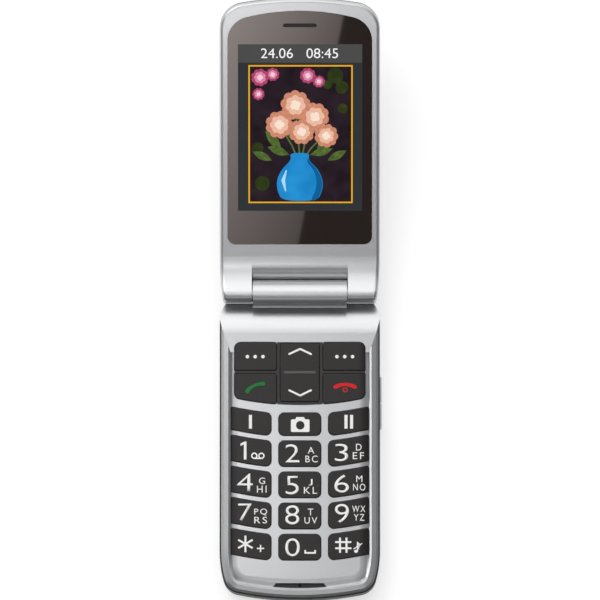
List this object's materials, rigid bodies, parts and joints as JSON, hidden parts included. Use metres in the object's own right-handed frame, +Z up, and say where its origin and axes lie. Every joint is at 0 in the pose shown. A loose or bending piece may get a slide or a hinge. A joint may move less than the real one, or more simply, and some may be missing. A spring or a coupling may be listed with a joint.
{
  "type": "flip phone",
  "caption": "Clamshell phone, opened nearly flat: a lid with a tall display window hinged on a barrel to a base with a large-key number pad, navigation keys and a raised frame.",
  "frame": {"origin": "middle of the base's flat back, which the phone rests on", "axes": "+X to the phone's right, +Y from the keypad towards the hinge and the lid, +Z up out of the keypad"},
  "size_m": [0.0526, 0.1939, 0.0358],
  "materials": {
    "silver_paint": "silver lacquer, satin",
    "bright_silver_paint": "silver lacquer, semi-gloss",
    "black_housing": "fine texture",
    "cover_plastic": "fine texture",
    "key_plastic": "satin, printed",
    "black_gloss": "polished",
    "slot_plastic": "matt",
    "window_acrylic": "polished",
    "display_glass": "polished",
    "lens_glass": "polished",
    "silicone": "matt",
    "film": "thin film with metal domes",
    "circuit_board": "solder resist",
    "tin_plate": "tin-plated",
    "battery_can": "wrapped can",
    "black_moulding": "matt",
    "steel": "plain",
    "copper_foil": "foil"
  },
  "bodies": {
    "base": {"base_front_housing": "silver_paint", "base_trim_frame": "bright_silver_paint", "base_rear_housing": "black_housing", "nav_bezel": "black_gloss", "mic_slot_insert": "slot_plastic", "keypad_mat": "silicone", "dome_sheet": "film", "main_board": "circuit_board", "shield_can": "tin_plate", "battery": "battery_can", "battery_contacts": "black_moulding", "sim_holder": "tin_plate", "loudspeaker": "black_moulding", "vibration_motor": "steel", "usb_port": "tin_plate", "antenna": "copper_foil", "microphone": "black_moulding", "side_switch_board": "circuit_board", "base_screws": "steel", "hinge_capsule": "steel", "hinge_cam_follower": "steel", "hinge_spring": "steel", "hinge_bush": "steel", "hinge_flex": "circuit_board"},
    "lid": {"lid_front_housing": "silver_paint", "lid_rear_housing": "black_housing", "lid_outer_panel": "black_gloss", "display_window": "window_acrylic", "display_panel": "display_glass", "display_frame": "tin_plate", "earpiece_mesh": "steel", "earpiece_receiver": "black_moulding", "camera_module": "black_moulding", "camera_lens": "lens_glass", "lid_board": "circuit_board", "lid_magnet": "steel", "lid_screws": "steel", "hinge_shaft": "steel"},
    "battery_cover": {"battery_cover": "cover_plastic"},
    "volume_rocker": {"volume_rocker": "bright_silver_paint"},
    "nav_rocker": {"nav_rocker": "key_plastic"},
    "softkey_left": {"softkey_left": "key_plastic"},
    "softkey_right": {"softkey_right": "key_plastic"},
    "call_key": {"call_key": "key_plastic"},
    "end_key": {"end_key": "key_plastic"},
    "key_memory_1": {"key_memory_1": "key_plastic"},
    "key_camera": {"key_camera": "key_plastic"},
    "key_memory_2": {"key_memory_2": "key_plastic"},
    "key_1": {"key_1": "key_plastic"},
    "key_2": {"key_2": "key_plastic"},
    "key_3": {"key_3": "key_plastic"},
    "key_4": {"key_4": "key_plastic"},
    "key_5": {"key_5": "key_plastic"},
    "key_6": {"key_6": "key_plastic"},
    "key_7": {"key_7": "key_plastic"},
    "key_8": {"key_8": "key_plastic"},
    "key_9": {"key_9": "key_plastic"},
    "key_star": {"key_star": "key_plastic"},
    "key_0": {"key_0": "key_plastic"},
    "key_hash": {"key_hash": "key_plastic"}
  },
  "joints": [
    {"name": "lid_hinge", "type": "hinge", "parent": "base", "child": "lid", "pos_m": [0, 0.05, 0.01145], "axis": [1, 0, 0], "range_deg": [0, 165]},
    {"name": "battery_cover_slide", "type": "slide", "parent": "base", "child": "battery_cover", "axis": [0, -1, 0], "range_m": [0, 0.09]},
    {"name": "volume_rocker_tilt", "type": "hinge", "parent": "base", "child": "volume_rocker", "pos_m": [0.024, 0.0149, 0.0053], "axis": [0, 0, 1], "range_deg": [-2, 2], "stiffness_Nm_per_rad": 0.01},
    {"name": "nav_rocker_tilt", "type": "hinge", "parent": "base", "child": "nav_rocker", "pos_m": [0, 0.02443, 0.0092], "axis": [1, 0, 0], "range_deg": [-2.4, 2.4], "stiffness_Nm_per_rad": 0.01},
    {"name": "softkey_left_press", "type": "slide", "parent": "base", "child": "softkey_left", "axis": [0, 0, -1], "range_m": [0, 0.0004], "stiffness_N_per_m": 300},
    {"name": "softkey_right_press", "type": "slide", "parent": "base", "child": "softkey_right", "axis": [0, 0, -1], "range_m": [0, 0.0004], "stiffness_N_per_m": 300},
    {"name": "call_key_press", "type": "slide", "parent": "base", "child": "call_key", "axis": [0, 0, -1], "range_m": [0, 0.0004], "stiffness_N_per_m": 300},
    {"name": "end_key_press", "type": "slide", "parent": "base", "child": "end_key", "axis": [0, 0, -1], "range_m": [0, 0.0004], "stiffness_N_per_m": 300},
    {"name": "key_memory_1_press", "type": "slide", "parent": "base", "child": "key_memory_1", "axis": [0, 0, -1], "range_m": [0, 0.0004], "stiffness_N_per_m": 300},
    {"name": "key_camera_press", "type": "slide", "parent": "base", "child": "key_camera", "axis": [0, 0, -1], "range_m": [0, 0.0004], "stiffness_N_per_m": 300},
    {"name": "key_memory_2_press", "type": "slide", "parent": "base", "child": "key_memory_2", "axis": [0, 0, -1], "range_m": [0, 0.0004], "stiffness_N_per_m": 300},
    {"name": "key_1_press", "type": "slide", "parent": "base", "child": "key_1", "axis": [0, 0, -1], "range_m": [0, 0.0004], "stiffness_N_per_m": 300},
    {"name": "key_2_press", "type": "slide", "parent": "base", "child": "key_2", "axis": [0, 0, -1], "range_m": [0, 0.0004], "stiffness_N_per_m": 300},
    {"name": "key_3_press", "type": "slide", "parent": "base", "child": "key_3", "axis": [0, 0, -1], "range_m": [0, 0.0004], "stiffness_N_per_m": 300},
    {"name": "key_4_press", "type": "slide", "parent": "base", "child": "key_4", "axis": [0, 0, -1], "range_m": [0, 0.0004], "stiffness_N_per_m": 300},
    {"name": "key_5_press", "type": "slide", "parent": "base", "child": "key_5", "axis": [0, 0, -1], "range_m": [0, 0.0004], "stiffness_N_per_m": 300},
    {"name": "key_6_press", "type": "slide", "parent": "base", "child": "key_6", "axis": [0, 0, -1], "range_m": [0, 0.0004], "stiffness_N_per_m": 300},
    {"name": "key_7_press", "type": "slide", "parent": "base", "child": "key_7", "axis": [0, 0, -1], "range_m": [0, 0.0004], "stiffness_N_per_m": 300},
    {"name": "key_8_press", "type": "slide", "parent": "base", "child": "key_8", "axis": [0, 0, -1], "range_m": [0, 0.0004], "stiffness_N_per_m": 300},
    {"name": "key_9_press", "type": "slide", "parent": "base", "child": "key_9", "axis": [0, 0, -1], "range_m": [0, 0.0004], "stiffness_N_per_m": 300},
    {"name": "key_star_press", "type": "slide", "parent": "base", "child": "key_star", "axis": [0, 0, -1], "range_m": [0, 0.0004], "stiffness_N_per_m": 300},
    {"name": "key_0_press", "type": "slide", "parent": "base", "child": "key_0", "axis": [0, 0, -1], "range_m": [0, 0.0004], "stiffness_N_per_m": 300},
    {"name": "key_hash_press", "type": "slide", "parent": "base", "child": "key_hash", "axis": [0, 0, -1], "range_m": [0, 0.0004], "stiffness_N_per_m": 300}
  ]
}
